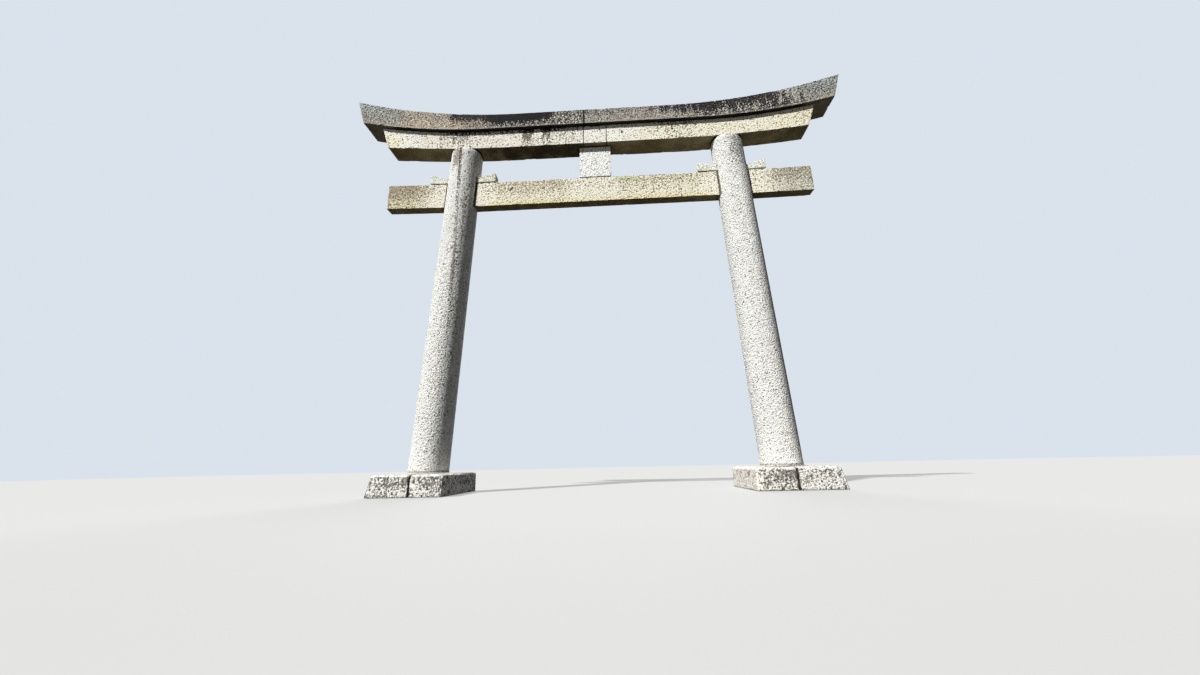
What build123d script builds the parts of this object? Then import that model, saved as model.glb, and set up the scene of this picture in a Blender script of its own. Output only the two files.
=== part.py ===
from build123d import *
import math
import os

# Stone gate of the torii kind: two leaning round columns, a wedged tie beam and a double curved lintel
# X runs along the lintels, Y goes through the passage with the front at -Y, and Z is up.
# The origin is on the lowest ground, in the middle between the columns. Lengths are in millimetres.

# Foundation stones: two stones under each column, split by a joint that runs front to back
base_height = 390
base_left_inner_reach = 640  # from the foot of the column's axis to the top edge beside the passage
base_left_outer_reach = 620
base_right_inner_reach = 720
base_right_outer_reach = 680
base_face_reach = 920  # to the top edge at the front, and the same at the back
base_outer_batter = 13  # degrees
base_face_batter = 3
base_left_corner_radius = 60
base_right_corner_radius = 130
base_arris_wear = 30
base_joint_inset = 60  # the joint lies this far inboard of the column's axis
base_joint_gap = 12

# Mortar beds under the columns
bed_height = 30
bed_margin = 20
bed_crown_margin = 5

# Columns: straight tapering cones that lean towards each other
foot_spacing = 6600
head_spacing = 5890
foot_radius = 382
head_radius = 351
head_housing = 35  # how far the head is let into the lower lintel
head_bevel = 104  # bevel that takes the head's rim off

# Tie beam: a middle stone between the columns and an end stone through each of them
passage_height = 5611  # from the foundation's top to the tie beam's underside
tie_height = 594
tie_depth = 245
tie_half_length = 4665
tie_left_tilt = 1.45  # degrees by which the end stones rise outwards
tie_right_tilt = 0.7
mortise_side_clearance = 0.3

# Wedges driven over the tie beam from both sides of each column
wedge_projection = 380
wedge_insertion = 250
wedge_head = 245
wedge_throat = 150  # thickness where the wedge enters the column
wedge_fit = 0.3

# Centre strut between the tie beam and the lower lintel
strut_height = 804
strut_width = 696
strut_depth = 245

# Lower lintel: level in the middle, with its ends swept up along an arc
lintel_height = 459
lintel_depth = 482
lintel_half_length = 4726  # at the underside
lintel_end_rake = 19  # degrees from upright
lintel_sweep_start = 1750
lintel_sweep_radius = 28000
lintel_left_joint = -243
lintel_right_joint = 270

# Top lintel: wider, swept up more strongly, with a pitched top
cap_height = 377
cap_depth = 656
cap_half_length = 5348
cap_end_rake = 16.5
cap_seat_sweep_start = 2400
cap_seat_sweep_radius = 12500
cap_eave_sweep_start = 1700
cap_eave_sweep_radius = 12900
cap_ridge_rise = 90
cap_joint = -228

# Worn edges of the dressed stones
lintel_wear = 9
tie_wear = 8
wedge_wear = 6

# Levels and places that follow from the sizes above
foot_level = base_height + bed_height
tie_level = base_height + passage_height
tie_top_level = tie_level + tie_height
mortise_ceiling = tie_top_level + wedge_throat
lintel_level = tie_top_level + strut_height
cap_level = lintel_level + lintel_height
eave_level = cap_level + cap_height
ridge_level = eave_level + cap_ridge_rise
blank_half_length = cap_half_length + 2 * cap_depth


def sweep_rise(x, start, radius):
    """Height that an edge has gained at x when it leaves the level on an arc at the start."""
    run = max(abs(x) - start, 0)
    return radius - math.sqrt(radius ** 2 - run ** 2)


lintel_rise_at_head = sweep_rise(head_spacing / 2, lintel_sweep_start, lintel_sweep_radius)
head_level = lintel_level + lintel_rise_at_head + head_housing


def column_share(z):
    """Share of the way from the column's foot to its head at a level."""
    return (z - foot_level) / (head_level - foot_level)


def column_axis(z):
    """Distance from the gate's middle to the column's axis at a level."""
    return foot_spacing / 2 + (head_spacing - foot_spacing) / 2 * column_share(z)


def column_radius(z):
    """Radius of the column at a level."""
    return foot_radius + (head_radius - foot_radius) * column_share(z)


def upright_face(points):
    """Face in the XZ plane through corner points given as X and Z."""
    return make_face(Polyline([(x, 0, z) for x, z in points], close=True))


def front_to_back(face, depth):
    """Prism with the face as its outline, centred on the gate's middle plane."""
    return extrude(face, depth / 2, dir=(0, 1, 0), both=True)


def swept_edge(start, radius, level):
    """Edge that is level in the middle and rises along an arc at each end, from left to right."""
    sweep = math.asin((blank_half_length - start) / radius)
    far = start + radius * math.sin(sweep)
    top = level + radius * (1 - math.cos(sweep))
    half = sweep / 2
    mid_x = start + radius * math.sin(half)
    mid_z = level + radius * (1 - math.cos(half))
    left = ThreePointArc((-far, 0, top), (-mid_x, 0, mid_z), (-start, 0, level))
    middle = Line((-start, 0, level), (start, 0, level))
    right = ThreePointArc((start, 0, level), (mid_x, 0, mid_z), (far, 0, top))
    return [left, middle, right]


def band_face(lower, upper):
    """Face between two swept edges, each given as its start, radius and level."""
    bottom = swept_edge(*lower)
    top = swept_edge(*upper)
    left_end = Line(bottom[0] @ 0, top[0] @ 0)
    right_end = Line(bottom[2] @ 1, top[2] @ 1)
    return make_face(bottom + [right_end] + top + [left_end])


def raked_outline(half_length, corner_level, rake):
    """Upright prism whose ends lean outwards and pass through the lower corners of a lintel."""
    low = lintel_level - lintel_height
    high = ridge_level + blank_half_length / 2
    slope = math.tan(math.radians(rake))
    low_reach = half_length + (low - corner_level) * slope
    high_reach = half_length + (high - corner_level) * slope
    face = upright_face([(-low_reach, low), (low_reach, low), (high_reach, high), (-high_reach, high)])
    return front_to_back(face, 2 * cap_depth)


def cut_between(body, left, right):
    """The stretch of a lintel between two upright joints."""
    middle = Pos((left + right) / 2, 0, lintel_level)
    return body & middle * Box(right - left, 2 * cap_depth, 4 * blank_half_length)


def worn(stone, lowest, wear):
    """Stone with the edges whose middles lie above a level broken by wear."""
    return chamfer(stone.edges().filter_by(lambda edge: edge.center().Z > lowest), wear)


def foundation(side):
    """Both foundation stones of one column, from the inner to the outer."""
    inner_reach = base_left_inner_reach if side < 0 else base_right_inner_reach
    outer_reach = base_left_outer_reach if side < 0 else base_right_outer_reach
    corner_radius = base_left_corner_radius if side < 0 else base_right_corner_radius
    axis = foot_spacing / 2
    inner = axis - inner_reach
    outer = axis + outer_reach
    outer_flare = base_height * math.tan(math.radians(base_outer_batter))
    face_flare = base_height * math.tan(math.radians(base_face_batter))
    length = 2 * (inner_reach + outer_reach + outer_flare)
    front_view = [(inner, 0), (outer + outer_flare, 0), (outer, base_height), (inner, base_height)]
    low = base_face_reach + face_flare
    side_view = [(0, -low, 0), (0, low, 0), (0, base_face_reach, base_height), (0, -base_face_reach, base_height)]
    side_face = make_face(Polyline(side_view, close=True))
    across = extrude(side_face, length, dir=(1, 0, 0), both=True)
    block = front_to_back(upright_face(front_view), 2 * low) & Pos(axis, 0, 0) * across
    level_edges = block.edges().filter_by(Plane.XY)
    block = fillet(block.edges() - level_edges, corner_radius)
    block = chamfer(block.faces().sort_by(Axis.Z)[-1].edges(), base_arris_wear)
    joint = axis - base_joint_inset
    cutter = Box(length, 4 * base_face_reach, 4 * base_height)
    shift = (length - base_joint_gap) / 2
    inner_stone = block - Pos(joint + shift, 0, 0) * cutter
    outer_stone = block - Pos(joint - shift, 0, 0) * cutter
    if side < 0:
        return mirror(inner_stone, Plane.YZ), mirror(outer_stone, Plane.YZ)
    return inner_stone, outer_stone


def mortar_bed(side):
    """Low round bed that levels the column on its foundation."""
    bed = Cone(foot_radius + bed_margin, foot_radius + bed_crown_margin, bed_height)
    return Pos(side * foot_spacing / 2, 0, base_height + bed_height / 2) * bed


def column(side):
    """Leaning tapered shaft, bevelled at the head, with a through mortise for the tie beam and wedges."""
    low = foot_level - foot_radius
    lean = Vector(side * (column_axis(head_level) - column_axis(low)), 0, head_level - low)
    cone = Cone(column_radius(low), head_radius, lean.length)
    cone = chamfer(cone.edges().sort_by(Axis.Z)[-1], head_bevel)
    middle = (low + head_level) / 2
    shaft = Plane(origin=(side * column_axis(middle), 0, middle), z_dir=lean) * cone
    shaft = shaft - Pos(side * foot_spacing / 2, 0, low) * Box(foot_spacing, foot_spacing, 2 * foot_radius)
    height = mortise_ceiling - tie_level
    slot = Box(foot_spacing, tie_depth + 2 * mortise_side_clearance, height)
    return shaft - Pos(side * foot_spacing / 2, 0, tie_level + height / 2) * slot


def tie_joint():
    """Distance from the middle to the joint between the tie beam's stones, inside the column."""
    return column_axis(tie_level + tie_height / 2)


def tie_tilt(side):
    return tie_left_tilt if side < 0 else tie_right_tilt


def tie_top(x):
    """Level of the tie beam's top at x."""
    side = -1 if x < 0 else 1
    run = max(abs(x) - tie_joint(), 0)
    return tie_top_level + run * math.tan(math.radians(tie_tilt(side)))


def tie_middle():
    """Straight stone between the columns, reaching to the joints inside them."""
    stone = Pos(0, 0, tie_level + tie_height / 2) * Box(2 * tie_joint(), tie_depth, tie_height)
    return chamfer(stone.edges(), tie_wear)


def tie_end(side):
    """Stone that runs from inside the column out to the free end, rising a little."""
    near = side * tie_joint()
    far = side * tie_half_length
    outline = [
        (near, tie_level),
        (far, tie_top(far) - tie_height),
        (far, tie_top(far)),
        (near, tie_top_level),
    ]
    return chamfer(front_to_back(upright_face(outline), tie_depth).edges(), tie_wear)


def wedge(side, facing):
    """Wedge on one side of a column: facing is 1 away from the passage and -1 towards it."""
    outward = side * facing
    mouth = side * (column_axis(mortise_ceiling) + facing * column_radius(mortise_ceiling))
    head = mouth + outward * wedge_projection
    tip = mouth - outward * wedge_insertion
    mouth_top = mortise_ceiling - wedge_fit
    head_top = tie_top(head) + wedge_head
    slope = (head_top - mouth_top) / (head - mouth)
    tip_top = mouth_top + slope * (tip - mouth)
    outline = [(tip, tie_top(tip)), (head, tie_top(head)), (head, head_top), (tip, tip_top)]
    return chamfer(front_to_back(upright_face(outline), tie_depth).edges(), wedge_wear)


def centre_strut():
    """Upright block that stands on the tie beam and props the lower lintel."""
    stone = Pos(0, 0, tie_top_level + strut_height / 2) * Box(strut_width, strut_depth, strut_height)
    return chamfer(stone.edges(), tie_wear)


def lower_lintel():
    """Whole lower lintel with raked ends."""
    underside = (lintel_sweep_start, lintel_sweep_radius, lintel_level)
    seat = (cap_seat_sweep_start, cap_seat_sweep_radius, cap_level)
    band = front_to_back(band_face(underside, seat), lintel_depth)
    corner = lintel_level + sweep_rise(lintel_half_length, lintel_sweep_start, lintel_sweep_radius)
    return band & raked_outline(lintel_half_length, corner, lintel_end_rake)


def pitched_top(facing):
    """Everything under one slope of the top lintel's roof, from the ridge out past the eave."""
    low = (cap_eave_sweep_start, cap_eave_sweep_radius, lintel_level - lintel_height)
    ridge = (cap_eave_sweep_start, cap_eave_sweep_radius, ridge_level)
    fall = cap_ridge_rise / (cap_depth / 2)
    reach = cap_depth * math.hypot(1, fall)
    return extrude(band_face(low, ridge), reach, dir=(0, facing, -fall))


def top_lintel():
    """Whole top lintel: swept up, raked at the ends and pitched to a ridge."""
    seat = (cap_seat_sweep_start, cap_seat_sweep_radius, cap_level)
    crown = (cap_eave_sweep_start, cap_eave_sweep_radius, ridge_level + cap_height)
    band = front_to_back(band_face(seat, crown), cap_depth)
    corner = cap_level + sweep_rise(cap_half_length, cap_seat_sweep_start, cap_seat_sweep_radius)
    blank = band & raked_outline(cap_half_length, corner, cap_end_rake)
    return blank & (pitched_top(-1) + pitched_top(1))


parts = {}
for side, name in ((-1, "left"), (1, "right")):
    inner_stone, outer_stone = foundation(side)
    parts[f"base_{name}_inner"] = inner_stone
    parts[f"base_{name}_outer"] = outer_stone
    parts[f"bed_{name}"] = mortar_bed(side)
    parts[f"column_{name}"] = column(side)
    parts[f"tie_{name}"] = tie_end(side)
    parts[f"wedge_{name}_inner"] = wedge(side, -1)
    parts[f"wedge_{name}_outer"] = wedge(side, 1)
parts["tie_middle"] = tie_middle()
parts["centre_strut"] = centre_strut()

# The lower lintel's bottom edges stay sharp, because its seats over the column heads run across them.
whole_lintel = lower_lintel()
above_seats = lintel_level + lintel_height / 2
lintel_left = cut_between(whole_lintel, -blank_half_length, lintel_left_joint)
lintel_middle = cut_between(whole_lintel, lintel_left_joint, lintel_right_joint)
lintel_right = cut_between(whole_lintel, lintel_right_joint, blank_half_length)
parts["lintel_left"] = worn(lintel_left, above_seats, lintel_wear) - parts["column_left"]
parts["lintel_middle"] = worn(lintel_middle, above_seats, lintel_wear)
parts["lintel_right"] = worn(lintel_right, above_seats, lintel_wear) - parts["column_right"]

whole_cap = top_lintel()
cap_left = cut_between(whole_cap, -blank_half_length, cap_joint)
cap_right = cut_between(whole_cap, cap_joint, blank_half_length)
parts["cap_left"] = worn(cap_left, 0, lintel_wear)
parts["cap_right"] = worn(cap_right, 0, lintel_wear)

os.makedirs("parts", exist_ok=True)
for name, solid in parts.items():
    export_step(solid, f"parts/{name}.step")
    size = solid.bounding_box().size
    print(f"{name}: {size.X:.0f} x {size.Y:.0f} x {size.Z:.0f} mm, {solid.volume / 1e9:.3f} cubic metres")
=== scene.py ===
# %% [markdown]
# # A stone gate, dressed stone by stone
# The gate stands on four foundation stones. Two leaning round columns carry a wedged tie beam,
# a short strut and a double curved lintel. The solids of the fixed model are clean and sharp.
# Real granite that has stood in the rain for many years isn't, so this lesson makes each stone
# again as a worn mesh in the same place, and gives it the finish of its own part of the gate. The
# camera comes first, then the rules for four kinds of stone, then the finishes, then the stones
# one by one, and last the floor, the sky and the light.

# %% Open the fixed model
import math

import bpy
from mathutils import Matrix


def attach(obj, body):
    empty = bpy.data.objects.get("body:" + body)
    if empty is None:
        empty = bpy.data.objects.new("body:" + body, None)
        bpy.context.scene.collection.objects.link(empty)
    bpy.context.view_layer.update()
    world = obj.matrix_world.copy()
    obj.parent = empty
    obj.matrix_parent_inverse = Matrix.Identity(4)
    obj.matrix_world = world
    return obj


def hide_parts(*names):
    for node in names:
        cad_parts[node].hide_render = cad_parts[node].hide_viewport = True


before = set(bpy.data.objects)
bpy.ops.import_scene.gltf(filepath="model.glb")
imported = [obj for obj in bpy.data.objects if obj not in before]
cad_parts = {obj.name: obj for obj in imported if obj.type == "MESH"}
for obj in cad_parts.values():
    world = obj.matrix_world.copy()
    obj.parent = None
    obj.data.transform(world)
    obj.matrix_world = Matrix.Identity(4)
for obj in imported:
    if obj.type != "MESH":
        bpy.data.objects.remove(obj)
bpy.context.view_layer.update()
scene = bpy.context.scene

# %% [markdown]
# ## The camera
# The picture was taken close to the gate with a very wide lens, held low and tipped upwards.
# A tipped wide lens makes the columns lean towards each other and the lintels look thick at
# the ends. A camera that is set by eye gets one of these right and the others wrong, so the
# place, the turn and the lens were fitted together to the gate's own straight edges.

# %% Camera
picture_width = 1200
focal_length_in_pixels = 453.8
camera_place = (0.4343, -8.803, 0.4665)
turned_left, tipped_up, rolled = 0.0473, 0.2741, -0.0217  # radians
camera_data = bpy.data.cameras.new("camera")
camera_data.sensor_width = 36
camera_data.lens = focal_length_in_pixels / picture_width * camera_data.sensor_width
camera = bpy.data.objects.new("camera", camera_data)
scene.collection.objects.link(camera)
heading = Matrix.Rotation(turned_left, 4, "Z")
tip = Matrix.Rotation(math.pi / 2 + tipped_up, 4, "X")
roll = Matrix.Rotation(rolled, 4, "Z")
camera.matrix_world = Matrix.Translation(camera_place) @ heading @ tip @ roll
scene.camera = camera
print(f"lens {camera_data.lens:.1f} mm")

# %% [markdown]
# ## Writing node trees as sums
# Shapes and finishes are both node trees, and both are full of arithmetic. A small class wraps
# one socket, so that a sum such as 1 - dirt * 0.4 adds its Math nodes by itself. Places and
# directions go through Vector Math in the same way. All other nodes come from one method.

# %% A value in a node tree
class Value:
    """One value in a node tree. Sums with it add the Math or Vector Math nodes."""

    def __init__(self, recipe, socket):
        self.recipe = recipe
        self.socket = socket

    def maths(self, operation, *others):
        terms = (self, *others)
        # One place or direction among the terms makes the whole sum Vector Math.
        in_space = any(isinstance(t, tuple) or isinstance(t, Value) and t.socket.type == "VECTOR"
                       for t in terms)
        if in_space:
            terms = [t if isinstance(t, (Value, tuple)) else (t, t, t) for t in terms]
        kind = "ShaderNodeVectorMath" if in_space else "ShaderNodeMath"
        return self.recipe.node(kind, {"operation": operation}, dict(enumerate(terms)))

    def __add__(self, other):
        return self.maths("ADD", other)

    __radd__ = __add__

    def __mul__(self, other):
        return self.maths("MULTIPLY", other)

    def __sub__(self, other):
        return self.maths("SUBTRACT", other)

    def __rsub__(self, other):
        return self * -1 + other

    def __truediv__(self, other):
        return self.maths("DIVIDE", other)

    def __abs__(self):
        return self.maths("ABSOLUTE")

    def larger(self, other):
        return self.maths("MAXIMUM", other)

    def smaller(self, other):
        return self.maths("MINIMUM", other)

    def root(self):
        return self.maths("SQRT")

    def sine(self):
        return self.maths("SINE")

    def cosine(self):
        return self.maths("COSINE")

    def length(self):
        node = {"operation": "LENGTH"}
        return self.recipe.node("ShaderNodeVectorMath", node, {0: self}, "Value")

    def part(self, axis):
        return self.recipe.node("ShaderNodeSeparateXYZ", {}, {0: self}, axis)

    def step(self, low, high):
        """0 below low, 1 above high and smooth between them."""
        values = {"Value": self, "From Min": low, "From Max": high}
        return self.recipe.node("ShaderNodeMapRange", {"interpolation_type": "SMOOTHSTEP"}, values)


# %% A tree that is written node by node
class Recipe:
    """Writes one node tree, node by node."""

    def __init__(self, tree):
        self.tree = tree

    def node(self, kind, settings=None, values=None, out=0):
        made = self.tree.nodes.new(kind)
        for name, setting in (settings or {}).items():
            setattr(made, name, setting)
        for name, value in (values or {}).items():
            if isinstance(value, Value):
                self.tree.links.new(value.socket, made.inputs[name])
            else:
                made.inputs[name].default_value = value
        return Value(self, made.outputs[out])

    def place(self, x, y, z):
        return self.node("ShaderNodeCombineXYZ", {}, {0: x, 1: y, 2: z})

    def noise(self, where, scale, detail=2.0, roughness=0.5):
        values = {"Vector": where, "Scale": scale, "Detail": detail, "Roughness": roughness}
        return self.node("ShaderNodeTexNoise", {}, values)


# %% [markdown]
# ## A rule for one kind of stone
# The stones could be modelled by hand, one by one, but the four kinds of stone here differ only in
# their sizes. So each kind is a Geometry Nodes tree, which is a rule with named inputs. Every such
# tree starts with its list of inputs and ends in the same few nodes, and each of its steps moves
# points or keeps a value on them.

# %% Start and end of a shape's tree
def new_shape(name, inputs):
    """A Geometry Nodes tree with named inputs, and its inputs as values."""
    tree = bpy.data.node_groups.new(name, "GeometryNodeTree")
    tree.is_modifier = True
    for label in inputs:
        tree.interface.new_socket(label, in_out="INPUT", socket_type="NodeSocketFloat")
    tree.interface.new_socket("Finish", in_out="INPUT", socket_type="NodeSocketMaterial")
    tree.interface.new_socket("Stone", in_out="OUTPUT", socket_type="NodeSocketGeometry")
    recipe = Recipe(tree)
    given = tree.nodes.new("NodeGroupInput")
    return recipe, {s.name: Value(recipe, s) for s in given.outputs if s.name}


def close_shape(recipe, stone, finish):
    """Creases stay sharp, everything else is shaded smooth, and the finish is set."""
    crease_angle = 0.9  # radians
    angle = recipe.node("GeometryNodeInputMeshEdgeAngle")
    less = {"operation": "LESS_THAN"}
    soft = recipe.node("FunctionNodeCompare", less, {0: angle, 1: crease_angle})
    smooth = {"Geometry": stone, "Shade Smooth": soft}
    stone = recipe.node("GeometryNodeSetShadeSmooth", {"domain": "EDGE"}, smooth)
    stone = recipe.node("GeometryNodeRealizeInstances", {}, {"Geometry": stone})
    stone = recipe.node("GeometryNodeSetMaterial", {}, {"Geometry": stone, "Material": finish})
    out = recipe.tree.nodes.new("NodeGroupOutput")
    recipe.tree.links.new(stone.socket, out.inputs[0])
    print(f"{recipe.tree.name}: {len(recipe.tree.nodes)} nodes")


# %% Moving points and keeping values on them
def position(recipe):
    return recipe.node("GeometryNodeInputPosition")


def move(recipe, stone, place):
    return recipe.node("GeometryNodeSetPosition", {}, {"Geometry": stone, "Position": place})


def push_in(recipe, stone, depth):
    """Moves the surface inwards by a depth in metres."""
    offset = recipe.node("GeometryNodeInputNormal") * depth * -1
    return recipe.node("GeometryNodeSetPosition", {}, {"Geometry": stone, "Offset": offset})


def keep(recipe, stone, label, kind, value):
    """Writes a value on the points for the finish to read."""
    settings = {"data_type": kind, "domain": "POINT"}
    values = {"Geometry": stone, "Name": label, "Value": value}
    return recipe.node("GeometryNodeStoreNamedAttribute", settings, values)


# %% [markdown]
# ## A worn block
# Every straight stone starts as a fine block that lies at the origin. Its arrises, which are
# the edges between two faces, are rounded by pulling each point towards a smaller block inside
# it. The radius of that rounding comes from noise, so an arris is sharp in one place and broken
# in the next. Broad and fine noise then push the faces in a little, as a mason's hammer leaves
# them. Nothing is ever pushed outwards, so a stone never grows past its solid. Only after that is
# the block bent into its place, which is why one rule can serve the beams, wedges and lintels.

# %% Hammered faces
def seeded_place(recipe, given):
    """Place on the stone, moved by its seed, so that no two stones draw the same noise."""
    seed = given["Seed"]
    return position(recipe) + recipe.place(seed * 7.3, seed * 3.1, seed * 5.7)


def hammering(recipe, given, hollow_scale):
    """Depth in metres of a face's broad hollows and fine tool marks."""
    spot = seeded_place(recipe, given)
    hollows = recipe.noise(spot, hollow_scale, 3.0) * given["Hollows"]
    marks = recipe.noise(spot, 11.0, 3.0, 0.65) + recipe.noise(spot, 27.0, 2.0)
    return hollows + marks * given["Tooling"]


# %% The block itself
wear_inputs = ["Length", "Depth", "Height", "Spacing", "Wear", "Top wear", "Foot share", "Chips",
               "Hollows", "Tooling", "Seed"]
crowding = 0.55 / math.pi  # how far the rows of points are drawn towards the arrises


def fine_block(recipe, given, size):
    """A box of points that lie closest together at the arrises, where the shape needs them."""
    counts = {"Size": size}
    for axis, label in zip("XYZ", ("Length", "Depth", "Height")):
        counts[f"Vertices {axis}"] = given[label] / given["Spacing"] + 3
    block = recipe.node("GeometryNodeMeshCube", {}, counts)
    half = size * 0.5
    place = position(recipe)
    crowd = (place / half * math.pi).sine()
    return move(recipe, block, place + crowd * half * (0.0, crowding, crowding))


def arris_radius(recipe, given, up):
    """Radius of the worn arris at a point. It grows towards the top, and where a chip is out."""
    spot = seeded_place(recipe, given)
    chip = recipe.noise(spot, 2.6, 3.0, 0.6).step(0.56, 0.72)
    wear = (given["Wear"] + given["Top wear"] * up) * (recipe.noise(spot, 9.0, 2.0) * 1.4 + 0.3)
    return (wear + given["Chips"] * chip) * (given["Foot share"] + up * (1 - given["Foot share"]))


def worn_block(recipe, given):
    """A block at the origin with worn arrises and hammered faces, before it is put in place."""
    size = recipe.place(given["Length"], given["Depth"], given["Height"])
    half = size * 0.5
    block = fine_block(recipe, given, size)

    place = position(recipe)
    depth_x, depth_y, depth_z = [(half - abs(place)).part(axis) for axis in range(3)]
    to_arris = depth_x.smaller(depth_y).larger(depth_x.larger(depth_y).smaller(depth_z))
    block = keep(recipe, block, "to_arris", "FLOAT", to_arris)

    up = (place.part(2) / given["Height"] + 0.5).smaller(1.0)
    radius = arris_radius(recipe, given, up)
    inner = half - radius
    core = place.larger(inner * -1).smaller(inner)
    out = place - core
    block = move(recipe, block, core + out * (radius / out.length().larger(radius)))

    # The end faces stay flat, because a joint between two stones shows no daylight.
    end = abs(recipe.node("GeometryNodeInputNormal").part(0)).step(0.7, 0.95)
    block = push_in(recipe, block, hammering(recipe, given, 1.7) * (1 - end))
    return keep(recipe, block, "block", "FLOAT_VECTOR", position(recipe))


# %% [markdown]
# ## A long dent
# The tie beam has one long gouge in its front, and the lower lintel and the left column's head have
# a pit each. A boolean could cut them, but it leaves thin faces round the cut. Pushing points back
# by the shape of half an egg keeps the mesh whole. A stone without a dent gets one of no depth.

# %% A dent in the front
dent_inputs = ["Dent x", "Dent z", "Dent turn", "Dent length", "Dent depth"]


def dent(recipe, stone, given):
    """Knocks one long dent into the front face, at a place on the gate."""
    place = position(recipe)
    x, z = place.part(0) - given["Dent x"], place.part(2) - given["Dent z"]
    cos, sin = given["Dent turn"].cosine(), given["Dent turn"].sine()
    along = (x * cos + z * sin) / (given["Dent length"] * 0.5)
    across = (z * cos - x * sin) / (given["Dent length"] * 0.22)
    front = place.part(1).step(0.0, -0.05)
    share = (1 - along * along - across * across).larger(0.0).root() * front
    offset = recipe.place(0.0, share * given["Dent depth"], 0.0)
    return recipe.node("GeometryNodeSetPosition", {}, {"Geometry": stone, "Offset": offset})


# %% [markdown]
# ## Straight stones
# The tie beam's stones, the wedges and the strut are blocks whose top and bottom edges are
# straight but not always level. They could be turned blocks, but then their ends would lean too,
# and a joint needs plumb ends. Four corner levels say all that is needed, so the tree reads those.

# %% Straight stones
def straight_shape():
    corners = ["Left", "Right", "Left low", "Left top", "Right low", "Right top"]
    recipe, given = new_shape("straight stone", [*corners, *dent_inputs, *wear_inputs])
    stone = worn_block(recipe, given)
    place = position(recipe)
    along = place.part(0) / given["Length"] + 0.5
    up = place.part(2) / given["Height"] + 0.5
    x = given["Left"] + along * (given["Right"] - given["Left"])
    low = given["Left low"] + along * (given["Right low"] - given["Left low"])
    top = given["Left top"] + along * (given["Right top"] - given["Left top"])
    stone = move(recipe, stone, recipe.place(x, place.part(1), low + up * (top - low)))
    close_shape(recipe, dent(recipe, stone, given), given["Finish"])
    return recipe.tree


straight_stone = straight_shape()

# %% [markdown]
# ## Swept stones
# Both lintels are level in the middle, and towards the ends their edges rise on a large arc. Their
# ends lean outwards. A bend modifier would give both edges of a block the same arc and turn its
# ends with it, so here each edge gets an arc of its own, and each end its own rake.

# %% Swept stones
sweep_inputs = ["Joint", "Side", "Half length", "Rake", "Low level", "Low start", "Low radius",
                "Top level", "Top start", "Top radius", "Ridge rise"]


def sweep_rise(x, start, radius):
    """Height that an edge has gained at x when it leaves the level on an arc at the start."""
    run = (abs(x) - start).larger(0.0)
    return radius - (radius * radius - run * run).root()


def swept_shape():
    recipe, given = new_shape("swept stone", [*sweep_inputs, *dent_inputs, *wear_inputs])
    stone = worn_block(recipe, given)
    place = position(recipe)
    up = place.part(2) / given["Height"] + 0.5
    ridge = given["Ridge rise"] * (1 - abs(place.part(1)) / (given["Depth"] * 0.5))

    def low_edge(x):
        return given["Low level"] + sweep_rise(x, given["Low start"], given["Low radius"])

    def level(x):
        low = low_edge(x)
        top = given["Top level"] + sweep_rise(x, given["Top start"], given["Top radius"]) + ridge
        return low + up * (top - low)

    # The end leans outwards with height, and its height depends on how far out it is, so the
    # reach is guessed from the block's height and then corrected twice.
    corner = low_edge(given["Half length"])
    reach = given["Half length"] + given["Rake"] * up * given["Height"]
    for _ in range(2):
        reach = given["Half length"] + given["Rake"] * (level(reach) - corner)
    outwards = place.part(0) / given["Length"] * given["Side"] + 0.5
    x = given["Joint"] + outwards * (given["Side"] * reach - given["Joint"])
    stone = move(recipe, stone, recipe.place(x, place.part(1), level(x)))
    close_shape(recipe, dent(recipe, stone, given), given["Finish"])
    return recipe.tree


swept_stone = swept_shape()

# %% [markdown]
# ## Foundation stones
# The four foundation stones have a battered face and a battered outer end, which means that
# they spread towards the ground. The corner at the free end is rounded in plan, and much more
# on the right side of the gate. A square corner is turned into a round one by pulling points
# in along their own direction, which keeps the top face closed.

# %% Foundation stones
def foundation_shape():
    labels = ["Joint", "Side", "End batter", "Face batter", "Corner radius", *wear_inputs]
    recipe, given = new_shape("foundation stone", labels)
    stone = worn_block(recipe, given)
    place = position(recipe)
    half_length, half_depth = given["Length"] * 0.5, given["Depth"] * 0.5
    hair = 0.0001  # metres, so that nothing is divided by zero

    out_x = (place.part(0) * given["Side"] - half_length + given["Corner radius"]).larger(0.0)
    core_y = half_depth - given["Corner radius"]
    out_y = place.part(1) - place.part(1).larger(core_y * -1).smaller(core_y)
    widest = out_x.larger(abs(out_y))
    squeeze = widest / (out_x * out_x + out_y * out_y).root().larger(hair)
    in_corner = widest.step(0.0, hair)
    shrink = squeeze * in_corner + 1 - in_corner
    x = place.part(0) * given["Side"] - out_x + out_x * shrink
    y = place.part(1) - out_y + out_y * shrink

    drop = given["Height"] * 0.5 - place.part(2)
    outwards = x / given["Length"] + 0.5
    x = given["Joint"] + given["Side"] * outwards * (given["Length"] + given["End batter"] * drop)
    y = y * (1 + given["Face batter"] * drop / half_depth)
    stone = move(recipe, stone, recipe.place(x, y, place.part(2) + given["Height"] * 0.5))
    close_shape(recipe, stone, given["Finish"])
    return recipe.tree


foundation_stone = foundation_shape()

# %% [markdown]
# ## Columns and their beds
# A column is one long tapering shaft that leans towards the passage and has a rounded head. The
# tie beam goes right through it, and a finger's width of shadow shows between the two stones. A
# dark painted line would be wrong from the side, so the hole is cut through the finished shaft
# with a boolean. A boolean leaves faces with many corners, and those are split with care
# afterwards, so that the mesh stays closed. The mortar bed is a very short column with no hole.

# %% Round stones
round_inputs = ["Foot x", "Head x", "Foot level", "Head level", "Foot radius", "Head radius",
                "Head round", "Left crisp", "Spacing", "Hollows", "Tooling", "Seed", "Hole depth",
                "Hole low", "Hole top", *dent_inputs]


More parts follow.
